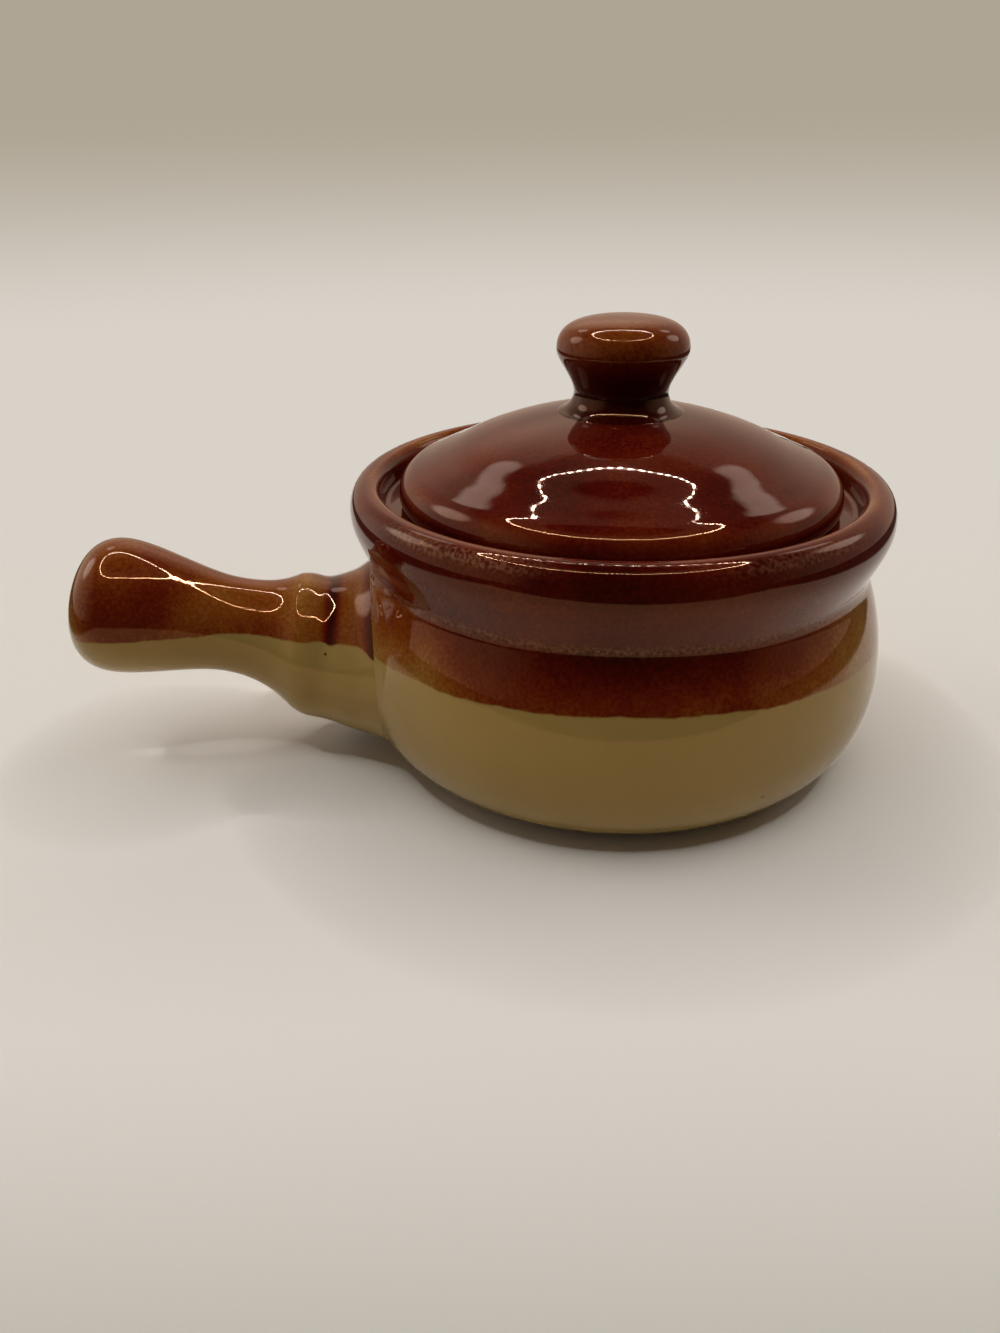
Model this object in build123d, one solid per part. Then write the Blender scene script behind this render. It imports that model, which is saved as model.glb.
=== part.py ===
"""A stoneware soup crock: a bellied bowl with a stick handle, and a loose domed lid with a knob.

Millimetres, +Z up. The origin is the middle of the foot ring, on the surface that the crock stands on,
and the handle points along -X.
"""

from build123d import *
from math import asin, cos, degrees, radians, sin, sqrt, tan
import os

# Bowl, outside
foot_radius = 45.5
foot_ring_width = 5.0
foot_height = 1.2
foot_edge_radius = 0.5
base_flat_radius = 48.8
belly_radius = 63.5
belly_height = 23.5
neck_inset = 4.4
neck_height = 47.4
crease_radius = 2.5
flare_angle = 22.0
flare_start_share = 0.5
flare_end_share = 0.25
rim_radius = 62.3
rim_widest_height = 60.0
rim_crest_inset = 4.7
rim_top_height = 66.3

# Bowl, inside
base_thickness = 6.0
belly_wall = 6.0
neck_wall = 5.5
floor_flat_radius = 38.0
inner_belly_height = 25.0
well_inset = 3.0
inner_edge_drop = 5.0
ledge_width = 9.1
ledge_height = 60.0
ledge_thickness = 4.5
ledge_slope = 35.0
ledge_edge_radius = 1.0

# Lid: its lip stands in the well and its dry ring sits on the ledge, from which its heights are counted
lip_gap = 3.7
lip_widest_rise = 6.2
lip_slope = 21.0
lip_fullness = 5.0
lip_shoulder = 2.4
lip_width = 7.4
crown_rise = 21.6
dome_radius = 92.0
seat_width = 2.4
seat_inset = 0.5
skirt_height = 3.0
lid_wall = 5.6
hollow_fullness = 0.55

# Knob: its heights are counted from the lid's crown
knob_radius = 14.7
knob_widest_rise = 12.3
knob_top_rise = 19.4
knob_neck_radius = 10.6
knob_neck_rise = 3.2
knob_root_radius = 11.7
knob_fullness = 0.66
knob_neck_share = 0.3
knob_root_share = 0.5
knob_root_fullness = 0.7

# Handle: distances along it are counted from its waist, outwards to the tip and inwards to the bead
waist_distance = 29.3
waist_height = 32.2
waist_radius = 11.5
waist_share = 0.7
handle_rise = 14.2
bulb_distance = 25.4
bulb_radius = 15.9
bulb_fullness = 0.66
bulb_share = 0.4
tip_distance = 36.6
bead_distance = 18.7
bead_radius = 17.0
bead_rise = 7.5
bead_drop = 1.25
bead_share = 0.2
bead_back_length = 4.2
flare_steps = 5
groove_radius = 14.6

# Hollow inside the handle
core_radius = 8.0
core_waist_radius = 5.0
tip_wall = 8.0

# Root of the handle, where it spreads over the belly
root_inside = 13.0
root_middle_height = 25.0
root_half_height = 22.4
root_half_width = 27.0
spread_distance = 2.5
spread_middle_height = 23.5
spread_half_height = 18.8
spread_half_width = 20.4
collar_radius = 16.2

# Places that follow from the sizes above
neck_radius = rim_radius - neck_inset
rim_crest_radius = rim_radius - rim_crest_inset
well_radius = rim_crest_radius - well_inset
ledge_radius = well_radius - ledge_width
lip_radius = well_radius - lip_gap
notch_radius = lip_radius - lip_width
crown_height = ledge_height + crown_rise
waist_reach = belly_radius + waist_distance


def turned(outline):
    """A flat outline of radius and height, turned once round the crock's axis."""
    return revolve(Plane.XZ * outline, Axis.Z)


def quarter_arc(middle, across, upwards, start):
    """A quarter of an ellipse about its middle, anticlockwise from a starting angle."""
    return EllipticalCenterArc(middle, across, upwards, start_angle=start, arc_size=90)


def bulge(start, corner, end, fullness):
    """A curve from start to end that swells towards a corner, along whose two sides it leaves and arrives."""
    start, corner, end = Vector(start), Vector(corner), Vector(end)
    return Bezier(start, start + (corner - start) * fullness, end + (corner - end) * fullness, end)


def rounded(outline, corner, radius):
    """The outline with its corner nearest to a given point made round."""
    return fillet(outline.vertices().sort_by_distance(corner)[0], radius)


def bowl_outside():
    """Lines of radius and height from the base's flat up over the belly, neck and rim, to the rim's crest."""
    base_edge = quarter_arc(
        (base_flat_radius, belly_height),
        belly_radius - base_flat_radius,
        belly_height - foot_height,
        270,
    )
    shoulder = TangentArc((belly_radius, belly_height), (neck_radius, neck_height), tangent=(0, 1))
    flare_rise = rim_widest_height - neck_height
    flare_start = flare_rise * flare_start_share
    flare = Bezier(
        (neck_radius, neck_height),
        (neck_radius + flare_start * tan(radians(flare_angle)), neck_height + flare_start),
        (rim_radius, rim_widest_height - flare_rise * flare_end_share),
        (rim_radius, rim_widest_height),
    )
    rim = quarter_arc(
        (rim_crest_radius, rim_widest_height),
        rim_radius - rim_crest_radius,
        rim_top_height - rim_widest_height,
        0,
    )
    return base_edge + shoulder + flare + rim


def bowl_inside():
    """Lines of radius and height from the rim's crest down the well, under the ledge and over the floor."""
    floor_height = foot_height + base_thickness
    inner_belly_radius = belly_radius - belly_wall
    inner_neck_radius = neck_radius - neck_wall
    well_top = rim_top_height - inner_edge_drop
    ledge_underside = ledge_height - ledge_thickness
    slope_drop = (inner_neck_radius - ledge_radius) * tan(radians(ledge_slope))
    inner_edge = quarter_arc(
        (rim_crest_radius, well_top),
        rim_crest_radius - well_radius,
        inner_edge_drop,
        90,
    )
    ledge = Polyline(
        (well_radius, well_top),
        (well_radius, ledge_height),
        (ledge_radius, ledge_height),
        (ledge_radius, ledge_underside),
        (inner_neck_radius, ledge_underside - slope_drop),
    )
    wall = TangentArc(
        (inner_belly_radius, inner_belly_height),
        (inner_neck_radius, ledge_underside - slope_drop),
        tangent=(0, 1),
    )
    hollow = quarter_arc(
        (floor_flat_radius, inner_belly_height),
        inner_belly_radius - floor_flat_radius,
        inner_belly_height - floor_height,
        270,
    )
    floor = Line((floor_flat_radius, floor_height), (0, floor_height))
    return inner_edge + ledge + wall + hollow + floor


def bowl_envelope():
    """The bowl filled in, which trims the handle to the belly."""
    closing = Polyline(
        (rim_crest_radius, rim_top_height),
        (0, rim_top_height),
        (0, foot_height),
        (base_flat_radius, foot_height),
    )
    outline = make_face(bowl_outside() + closing)
    return turned(rounded(outline, (neck_radius, neck_height), crease_radius))


def crock_bowl():
    """The bowl: foot ring, belly, neck, rolled rim, and the well and ledge that carry the lid."""
    ring_inner_radius = foot_radius - foot_ring_width
    underside = Polyline(
        (0, foot_height + base_thickness),
        (0, foot_height),
        (ring_inner_radius, foot_height),
        (ring_inner_radius, 0),
        (foot_radius, 0),
        (foot_radius, foot_height),
        (base_flat_radius, foot_height),
    )
    outline = make_face(bowl_outside() + bowl_inside() + underside)
    outline = rounded(outline, (neck_radius, neck_height), crease_radius)
    outline = rounded(outline, (ledge_radius, ledge_height), ledge_edge_radius)
    outline = rounded(outline, (ledge_radius, ledge_height - ledge_thickness), ledge_edge_radius)
    outline = rounded(outline, (ring_inner_radius, 0), foot_edge_radius)
    outline = rounded(outline, (foot_radius, 0), foot_edge_radius)
    return turned(outline)


def dome_arc(radius):
    """The arc of the lid's dome from the crown out to a radius."""
    reach = degrees(asin(radius / dome_radius))
    return CenterArc((0, crown_height - dome_radius), dome_radius, 90 - reach, reach)


def dome_height(radius):
    """The height of the dome's outside at a radius."""
    return crown_height - dome_radius + sqrt(dome_radius**2 - radius**2)


def lid_dome():
    """The lid: a dome, a notch, a rounded lip that stands in the well, and a dry ring on the ledge."""
    lip_widest_height = ledge_height + lip_widest_rise
    seat_inner_radius = ledge_radius + seat_inset
    seat_outer_radius = seat_inner_radius + seat_width
    skirt_top = ledge_height + skirt_height
    notch_height = dome_height(notch_radius)
    lip_top = Bezier(
        (notch_radius, notch_height),
        (
            notch_radius + lip_fullness * cos(radians(lip_slope)),
            notch_height - lip_fullness * sin(radians(lip_slope)),
        ),
        (lip_radius, lip_widest_height + lip_shoulder),
        (lip_radius, lip_widest_height),
    )
    lip_under = quarter_arc(
        (seat_outer_radius, lip_widest_height),
        lip_radius - seat_outer_radius,
        lip_widest_height - ledge_height,
        270,
    )
    seat = Polyline(
        (seat_outer_radius, ledge_height),
        (seat_inner_radius, ledge_height),
        (seat_inner_radius, skirt_top),
    )
    hollow_top = crown_height - lid_wall
    hollow = bulge(
        (seat_inner_radius, skirt_top), (seat_inner_radius, hollow_top), (0, hollow_top), hollow_fullness
    )
    middle = Line((0, hollow_top), (0, crown_height))
    return turned(make_face(dome_arc(notch_radius) + lip_top + lip_under + seat + hollow + middle))


def lid_knob():
    """The knob: a spreading root that fits the dome, a neck and a rounded cap."""
    root_height = dome_height(knob_root_radius)
    neck_height = crown_height + knob_neck_rise
    widest_height = crown_height + knob_widest_rise
    top_height = crown_height + knob_top_rise
    root_run = (neck_height - root_height) * knob_root_share
    neck_run = (widest_height - neck_height) * knob_neck_share
    root = bulge(
        (knob_root_radius, root_height),
        (knob_neck_radius, neck_height - root_run),
        (knob_neck_radius, neck_height),
        knob_root_fullness,
    )
    underside = Bezier(
        (knob_neck_radius, neck_height),
        (knob_neck_radius, neck_height + neck_run),
        (knob_radius, widest_height - neck_run),
        (knob_radius, widest_height),
    )
    cap = bulge((knob_radius, widest_height), (knob_radius, top_height), (0, top_height), knob_fullness)
    middle = Line((0, top_height), (0, crown_height))
    return turned(make_face(dome_arc(knob_root_radius) + root + underside + cap + middle))


def outwards(rise):
    """The way outwards along the handle, at an angle of rise."""
    return Vector(-cos(radians(rise)), 0, sin(radians(rise)))


def handle_plane(distance):
    """A plane across the handle at a distance in from the waist, lower and more upright towards the bead."""
    share = distance / bead_distance
    rise = handle_rise + (bead_rise - handle_rise) * share
    drop = Vector(0, 0, bead_drop) * share**2
    origin = Vector(-waist_reach, 0, waist_height) - outwards(handle_rise) * distance - drop
    return Plane(origin=origin, x_dir=(0, 1, 0), z_dir=outwards(rise))


def turned_along(plane, outline):
    """A flat outline of distance out from a plane across the handle, and of radius, turned once about it."""
    return Plane(origin=plane.origin, x_dir=plane.z_dir, z_dir=plane.x_dir) * revolve(outline, Axis.X)


def bulb():
    """The outside of the handle from the waist out to the tip."""
    bulb_run = bulb_distance * bulb_share
    tip = bulge((tip_distance, 0), (tip_distance, bulb_radius), (bulb_distance, bulb_radius), bulb_fullness)
    swell = Bezier(
        (bulb_distance, bulb_radius),
        (bulb_distance - bulb_run, bulb_radius),
        (bulb_run, waist_radius),
        (0, waist_radius),
    )
    closing = Polyline((0, waist_radius), (0, 0), (tip_distance, 0))
    return turned_along(handle_plane(0), make_face(tip + swell + closing))


def bead():
    """The outside of the handle from the waist in to the bead and down its back."""
    flare = Bezier(
        (0, waist_radius),
        (bead_distance * waist_share, waist_radius),
        (bead_distance * (1 - bead_share), bead_radius),
        (bead_distance, bead_radius),
    )
    stations = [flare @ (step / flare_steps) for step in range(flare_steps + 1)]
    front = loft([handle_plane(station.X) * Circle(station.Y) for station in stations])
    back = quarter_arc((0, groove_radius), bead_back_length, bead_radius - groove_radius, 90)
    closing = Polyline((-bead_back_length, groove_radius), (-bead_back_length, 0), (0, 0), (0, bead_radius))
    return front + turned_along(handle_plane(bead_distance), make_face(back + closing))


def handle_root():
    """The spread of the handle over the belly, from inside the bowl's wall to inside the bead."""
    inside = Plane(
        origin=(-(belly_radius - root_inside), 0, root_middle_height), x_dir=(0, 1, 0), z_dir=(-1, 0, 0)
    )
    spread = Plane(
        origin=(-(belly_radius + spread_distance), 0, spread_middle_height), x_dir=(0, 1, 0), z_dir=(-1, 0, 0)
    )
    collar = handle_plane(bead_distance).offset(-bead_back_length / 2)
    sections = [
        inside * Ellipse(root_half_width, root_half_height),
        spread * Ellipse(spread_half_width, spread_half_height),
        collar * Circle(collar_radius),
    ]
    return loft(sections)


def handle_core():
    """The hollow left in the handle by casting, open at the bowl's wall."""
    core_end = tip_distance - tip_wall
    core_widest = core_end - core_radius
    core_run = core_widest * bulb_share
    root_end = belly_radius - root_inside - waist_reach
    end = bulge((core_end, 0), (core_end, core_radius), (core_widest, core_radius), bulb_fullness)
    swell = Bezier(
        (core_widest, core_radius),
        (core_widest - core_run, core_radius),
        (core_run, core_waist_radius),
        (0, core_waist_radius),
    )
    root = Polyline(
        (0, core_waist_radius),
        (-bead_distance, core_radius),
        (root_end, core_radius),
        (root_end, 0),
        (core_end, 0),
    )
    return turned_along(handle_plane(0), make_face(end + swell + root))


def stick_handle():
    """The hollow handle, trimmed to the belly that it is luted to."""
    return bulb() + bead() + handle_root() - handle_core() - bowl_envelope()


pieces = {
    "crock_bowl": crock_bowl,
    "stick_handle": stick_handle,
    "lid_dome": lid_dome,
    "lid_knob": lid_knob,
}

os.makedirs("parts", exist_ok=True)
for name, make in pieces.items():
    piece = make()
    export_step(piece, f"parts/{name}.step")
    print(name, round(piece.volume / 1000, 1), "cubic cm", piece.bounding_box().size)
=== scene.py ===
# %% [markdown]
# A soup crock with a stick handle and a loose lid, in glazed stoneware. The CAD model is the fixed frame:
# it says where every piece is and how the lid moves. Each piece is drawn again here as a smooth surface,
# because a glaze rounds every corner that it covers and because the finish needs to know where the glaze
# is thick and where it is thin.

# %% Load the frame
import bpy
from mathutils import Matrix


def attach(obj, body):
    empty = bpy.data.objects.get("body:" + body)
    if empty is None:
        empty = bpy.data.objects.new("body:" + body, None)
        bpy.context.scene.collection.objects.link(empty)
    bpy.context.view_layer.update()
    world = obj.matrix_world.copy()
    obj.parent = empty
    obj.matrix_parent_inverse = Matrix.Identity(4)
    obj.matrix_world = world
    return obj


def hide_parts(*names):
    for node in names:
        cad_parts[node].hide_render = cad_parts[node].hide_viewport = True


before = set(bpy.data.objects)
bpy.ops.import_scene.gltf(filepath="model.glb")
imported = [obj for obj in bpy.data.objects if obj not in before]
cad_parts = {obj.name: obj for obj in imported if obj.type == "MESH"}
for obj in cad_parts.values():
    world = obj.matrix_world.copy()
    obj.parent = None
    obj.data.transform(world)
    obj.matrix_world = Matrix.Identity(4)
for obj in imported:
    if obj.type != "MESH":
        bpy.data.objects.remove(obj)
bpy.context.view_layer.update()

# %% [markdown]
# Blender measures in metres. A pot is easier to think of in millimetres, so the shapes are written in
# millimetres and scaled once, when a mesh is made. The Standard view shows a colour about as it is
# written.

# %% Libraries and units
import math

import bpy
import numpy as np
from mathutils import Matrix

scene = bpy.context.scene
scene.view_settings.view_transform = "Standard"
mm = 0.001
print("Blender", bpy.app.version_string)

# %% [markdown]
# The bowl, the lid and the knob were all turned: a template or a hand held one outline against wet clay
# on a wheel. So each of them is an outline of radius and height, carried round the upright axis. The
# outlines are joined from quarter ellipses, arcs and Bezier curves, the same curves that a template is
# drawn with. A Screw modifier could turn them too, but numpy keeps every vertex at hand for the finish.

# %% Curves for outlines
curve_steps = 60


def quarter_ellipse(middle, across, upwards, start):
    """A quarter of an ellipse: its middle, plus across times the cosine and upwards times the sine."""
    angle = np.radians(np.linspace(start, start + 90, curve_steps))
    return np.array(middle) + np.column_stack([across * np.cos(angle), upwards * np.sin(angle)])


def bezier(*corners):
    """A cubic curve: four corners, weighted by the Bernstein polynomials of the share along it."""
    share = np.linspace(0, 1, curve_steps)
    weights = [(1 - share) ** 3, 3 * share * (1 - share) ** 2, 3 * share**2 * (1 - share), share**3]
    return np.column_stack(weights) @ np.array(corners, float)


def bulge(start, corner, end, fullness):
    """A curve from start to end that leaves and arrives along the two sides of a corner."""
    start, corner, end = np.array(start), np.array(corner), np.array(end)
    return bezier(start, start + (corner - start) * fullness, end + (corner - end) * fullness, end)


def upright_arc(start, end):
    """An arc that leaves start straight up: its circle's middle is level with start."""
    run, rise = start[0] - end[0], end[1] - start[1]
    radius = (run**2 + rise**2) / (2 * run)
    angle = np.linspace(0, np.arctan2(rise, radius - run), curve_steps)
    return np.column_stack([start[0] - radius + radius * np.cos(angle), start[1] + radius * np.sin(angle)])


# %% [markdown]
# A glaze is melted glass. It draws back from sharp edges and fills sharp corners, so nothing on the real
# crock has a hard edge. A Bevel modifier could round the edges, but it rounds each by the same amount and
# leaves the curves as they are. Smoothing the outline itself does what the melted glaze does.

# %% Soften an outline
fine_spacing, reach_in_widths = 0.05, 4


def smoothed(path, width, spacing):
    """Each point becomes the mean of its neighbours along the path, weighted by a Gaussian of this width."""
    reach = int(reach_in_widths * width / spacing)
    weights = np.exp(-0.5 * (np.arange(-reach, reach + 1) * spacing / width) ** 2)
    weights /= weights.sum()
    padded = np.vstack([2 * path[0] - path[reach:0:-1], path, 2 * path[-1] - path[-2 : -reach - 2 : -1]])
    return np.column_stack([np.convolve(column, weights, "valid") for column in padded.T])


def evenly(path, spacing):
    """The same path with its points a fixed distance apart along it."""
    along = np.concatenate([[0], np.cumsum(np.hypot(*np.diff(path, axis=0).T))])
    places = np.linspace(0, along[-1], int(along[-1] / spacing) + 1)
    return np.column_stack([np.interp(places, along, column) for column in path.T])


def softened(path, width, spacing):
    """An outline with its corners melted: resampled finely, smoothed, and resampled for the mesh."""
    return evenly(smoothed(evenly(path, fine_spacing), width, fine_spacing), spacing)


# %% [markdown]
# To turn an outline, each of its points becomes a ring of vertices. Both ends of an outline lie on the
# axis, so the mesh closes there in a fan of triangles round one vertex, with no hole and no seam.
# Blender's own cylinders end in many-sided faces, which shade badly on a curved surface.

# %% Carry an outline round the axis
turn_steps = 240
turn = np.linspace(0, 2 * np.pi, turn_steps, endpoint=False)


def turned(outline):
    """Vertices and faces of an outline turned once: x and y are the radius times the turn's cosine and sine.

    The outline starts and ends on the axis, and each of those two ends is one vertex.
    """
    radius, height = outline[1:-1, :1], outline[1:-1, 1:]
    rings = np.stack([radius * np.cos(turn), radius * np.sin(turn), height + 0 * turn], axis=-1)
    ends = [[0, 0, outline[0, 1]], [0, 0, outline[-1, 1]]]
    return np.vstack([rings.reshape(-1, 3), ends]), grid_faces(len(rings), turn_steps)


def grid_faces(rows, columns):
    """Faces of a closed tube of rows: four-sided between rows, and triangles to one vertex at each end."""
    corner = np.arange(rows * columns).reshape(rows, columns)
    beside = np.roll(corner, -1, axis=1)
    sides = np.stack([corner[:-1], beside[:-1], beside[1:], corner[1:]], axis=-1).reshape(-1, 4)
    first, last = rows * columns, rows * columns + 1
    start = np.stack([np.full(columns, first), beside[0], corner[0]], axis=-1)
    end = np.stack([np.full(columns, last), corner[-1], beside[-1]], axis=-1)
    return sides.tolist() + start.tolist() + end.tolist()


# %% [markdown]
# A piece is a mesh that stands in for one CAD node and rides on that node's body. It also carries
# attributes, which are numbers kept for each vertex, to tell the finish what the glaze did there. They
# could be painted by hand as vertex colours. Worked out from the shape, they are right from every side.

# %% Make a piece
def add_piece(name, vertices, faces, node, body, slot, **attributes):
    """A smooth mesh object in place of a CAD node, with one number per vertex for each named attribute."""
    mesh = bpy.data.meshes.new(name)
    mesh.from_pydata((vertices * mm).tolist(), [], faces)
    mesh.shade_smooth()
    for attribute, values in attributes.items():
        mesh.attributes.new(attribute, "FLOAT", "POINT").data.foreach_set("value", values.astype(np.float32))
    piece = bpy.data.objects.new(name, mesh)
    scene.collection.objects.link(piece)
    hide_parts(node)
    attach(piece, body)
    size = np.ptp(vertices, axis=0)
    print(name, len(vertices), "vertices,", "x".join(f"{side:.1f}" for side in size), "mm")
    return piece


# %% [markdown]
# The bowl stands on a low foot ring. Its side swells to a belly, draws in to a tight crease and flares to
# a thick rolled rim. Inside the rim, a well with a ledge carries the lid. One outline goes from the
# middle of the underside, out and up the outside, over the rim, and down inside to the middle of the
# floor.

# %% Outline of the bowl
foot_outer, foot_inner, foot_height = 45.5, 40.5, 1.2
base_flat, belly, belly_height = 48.8, 63.5, 23.5
neck, neck_height, crease = 57.9, 47.4, 1.1
flare_leaves, flare_arrives = (60.45, 53.7), 56.85
rim, rim_widest, rim_crest, rim_top, rim_fullness = 62.3, 60.0, 57.6, 66.3, 0.63
well, well_top, ledge, ledge_height, ledge_under = 54.6, 61.3, 45.5, 60.0, 55.5
inner_neck, inner_neck_height = 52.4, 50.7
inner_belly, inner_belly_height, floor_flat, floor_height = 57.5, 25.0, 38.0, 7.2
bowl_melt, bowl_spacing = 0.45, 0.9

bowl_side = np.vstack([
    quarter_ellipse((base_flat, belly_height), belly - base_flat, belly_height - foot_height, 270),
    upright_arc((belly, belly_height), (neck, neck_height)),
    bezier((neck, neck_height), flare_leaves, (rim, flare_arrives), (rim, rim_widest)),
])
from_crease = np.hypot(bowl_side[:, 0] - neck, bowl_side[:, 1] - neck_height)
bowl_side = bowl_side[from_crease > crease]
foot = [
    (0, foot_height), (foot_inner, foot_height), (foot_inner, 0), (foot_outer, 0), (foot_outer, foot_height)
]
rolled_rim = bulge((rim, rim_widest), (rim, rim_top), (rim_crest, rim_top), rim_fullness)
rim_inside = quarter_ellipse((rim_crest, well_top), rim_crest - well, rim_top - well_top, 90)
seat_for_lid = [(well, ledge_height), (ledge, ledge_height), (ledge, ledge_under)]
inner_wall = upright_arc((inner_belly, inner_belly_height), (inner_neck, inner_neck_height))[::-1]
hollow = quarter_ellipse(
    (floor_flat, inner_belly_height), inner_belly - floor_flat, inner_belly_height - floor_height, 270
)[::-1]
bowl_outline = softened(np.vstack([
    foot, bowl_side, rolled_rim, rim_inside, seat_for_lid, inner_wall, hollow, [(0, floor_height)],
]), bowl_melt, bowl_spacing)
print("bowl outline", len(bowl_outline), "points")

# %% [markdown]
# The crock was glazed cream all over, then dipped upside down in a brown glaze as far as the shoulder.
# Each vertex keeps its height above that dip line, which sinks towards the sides and has the long waves
# that the liquid left. The inside is brown all over. A texture of two colours could be wrapped round the
# bowl, but a height lets the finish draw a line as sharp or as ragged as it likes.

# %% Dip line of the bowl
def step(value, low, high):
    """0 below low, 1 above high, and a smooth rise between them."""
    share = np.clip((value - low) / (high - low), 0, 1)
    return share * share * (3 - 2 * share)


front_turn, dip_front, dip_side_drop, dip_back_drop = -97.0, 35.7, 3.6, 0.7
sides_sink, back_sinks = (10, 85), (70, 180)
long_wave, long_count, long_start, short_wave, short_count = 0.25, 7, 40, 0.15, 17
all_brown, skin = 30.0, 2.0

bowl_vertices, bowl_faces = turned(bowl_outline)
bowl_turn = np.degrees(np.arctan2(bowl_vertices[:, 1], bowl_vertices[:, 0]))
bowl_radius = np.hypot(bowl_vertices[:, 0], bowl_vertices[:, 1])
bowl_height = bowl_vertices[:, 2]
outside = bowl_radius > np.interp(bowl_height, bowl_side[:, 1], bowl_side[:, 0]) - skin

off_front = (bowl_turn - front_turn + 180) % 360 - 180
from_front = np.abs(off_front)
dip_line = dip_front - dip_side_drop * step(from_front, *sides_sink)
dip_line -= dip_back_drop * step(from_front, *back_sinks)
dip_line += long_wave * np.sin(np.radians(long_count * bowl_turn + long_start))
dip_line += short_wave * np.sin(np.radians(short_count * bowl_turn))
above_dip = np.where(outside | (bowl_height > rim_widest), bowl_height - dip_line, all_brown)
print("dip line", dip_line.min().round(1), "to", dip_line.max().round(1), "mm")

# %% [markdown]
# The brown glaze thins towards the dip line, on the sides of the belly and over the crest of the rim, and
# there it turns from dark maroon to caramel. Use has scuffed it pale in one place on the left of the rim.
# The same pale flecks on the right of the rim are a painted sheen, and a broken line of them runs along
# the crease. The foot ring was wiped bare, so that it did not stick to the kiln shelf. The marks could be
# painted on, but here each is a smooth step or a bell curve of height, radius or turn.

# %% Thin, scuffed, sheen-painted and bare places on the bowl
def near(value, place, width):
    """1 at a place and nearly 0 two widths away from it: a bell curve, the exponential of minus a square."""
    return np.exp(-(((value - place) / width) ** 2))


base_thin, side_thin, flare_thin, crest_thin, most_thin = 0.17, 0.1, 0.14, 0.3, 0.8
dip_thin, belly_side_thin, belly_right_thin = 0.25, 0.34, 0.1
dip_fade, side_turns, right_turns, right_ends = (12, 0), (18, 66), (25, 60), (170, 120)
crest_at, crest_wide, crest_depth = rim_crest - 0.8, 1.2, 1.5
crease_flecks, crease_flecks_at, crease_flecks_wide = 0.6, neck_height + 0.9, 0.8
# The mark on the left of the rim is scuffing. The one on the right is a painted sheen.
left_wear, right_sheen, left_turn, right_turn, scuff_and_sheen_turns = 0.6, 0.24, -133, -64, (24, 8)
scuff_and_sheen_low, scuff_and_sheen_high, wiped, wiped_out = (63.2, 64.2), (66.2, 65.6), (0.5, 0.2), 0.5

towards_dip = step(above_dip, *dip_fade)
side_share = step(from_front, *side_turns)
right_share = step(off_front, *right_turns) * step(from_front, *right_ends)
under_crease = step(bowl_height, neck_height + 1.5, neck_height - 1.0) * outside
on_flare = step(bowl_height, neck_height + 0.5, neck_height + 2)
on_flare *= step(bowl_height, rim_widest, rim_widest - 3)
on_crest = near(bowl_radius, crest_at, crest_wide) * (bowl_height > rim_top - crest_depth)
belly_thin = dip_thin * towards_dip + belly_side_thin * side_share + belly_right_thin * right_share
thin = base_thin + side_thin * side_share + flare_thin * on_flare + under_crease * belly_thin
thin = np.minimum(thin, most_thin) + crest_thin * on_crest

# A broken line of pale flecks runs just above the crease.
on_crease = near(bowl_height, crease_flecks_at, crease_flecks_wide) * outside
scuffs_and_sheen = left_wear * step(np.abs(bowl_turn - left_turn), *scuff_and_sheen_turns)
# The right-hand mark is not a scuff. It is a painted sheen, a painted reflection on the rim.
scuffs_and_sheen += right_sheen * step(np.abs(bowl_turn - right_turn), *scuff_and_sheen_turns)
on_rim = step(bowl_height, *scuff_and_sheen_low) * step(bowl_height, *scuff_and_sheen_high) * (bowl_radius > rim_crest)
worn = crease_flecks * on_crease + scuffs_and_sheen * on_rim
bare = step(bowl_height, *wiped) * (bowl_radius < foot_outer + wiped_out)
bowl = add_piece(
    "stoneware_bowl", bowl_vertices, bowl_faces, "crock_bowl", "crock", "two_tone_glaze",
    above_dip=above_dip, thin=thin, bare=bare, worn=worn,
)

# %% [markdown]
# The lid is a shallow dome with a fat rounded lip that stands in the well. The turning left a soft ridge
# and a fainter ripple on the dome, too low to see by themselves, but they bend the lamps that the glaze
# mirrors. So the dome is drawn by its tilt, which is that of a ball that runs out into a cone, with two
# small bells for ridge and ripple. Adding up the slopes gives the heights, and two arcs make the shoulder
# and the edge. A bump texture would bend the mirrored lamps too, but the exported mesh would not have it.

# %% Dome of the lid
crown, dome_radius, dome_slope, dome_steps = 81.6, 90.0, math.radians(22.5), 200
ridge_at, ridge_tilt, ridge_width = 37.2, math.radians(4.6), 2.7
ripple_at, ripple_tilt, ripple_width = 43.8, math.radians(1.8), 1.7
lip_start, lip, shoulder_radius, shoulder_tilt = 46.6, 50.9, 7.6, math.radians(47)


def rounded(start, radius, first_tilt, last_tilt):
    """An arc that falls outwards: radius times the change in the tilt's sine across and cosine down."""
    tilt = np.linspace(first_tilt, last_tilt, curve_steps)
    across, down = np.sin(tilt) - np.sin(first_tilt), np.cos(tilt) - np.cos(first_tilt)
    return start + radius * np.column_stack([across, down])


dome_reach = np.linspace(0, lip_start, dome_steps)
dome_tilt = np.minimum(np.arcsin(dome_reach / dome_radius), dome_slope)
dome_tilt += ridge_tilt * near(dome_reach, ridge_at, ridge_width)
dome_tilt += ripple_tilt * near(dome_reach, ripple_at, ripple_width)
dome_height = crown - np.concatenate([[0], np.cumsum(np.tan(dome_tilt[1:]) * np.diff(dome_reach))])
dome = np.column_stack([dome_reach, dome_height])
shoulder = rounded(dome[-1], shoulder_radius, dome_slope, shoulder_tilt)
edge_radius = (lip - shoulder[-1, 0]) / (1 - math.sin(shoulder_tilt))
edge = rounded(shoulder[-1], edge_radius, shoulder_tilt, math.pi / 2)
lip_widest = edge[-1, 1]
print("lip widest at", round(lip_widest, 1), "mm")

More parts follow.
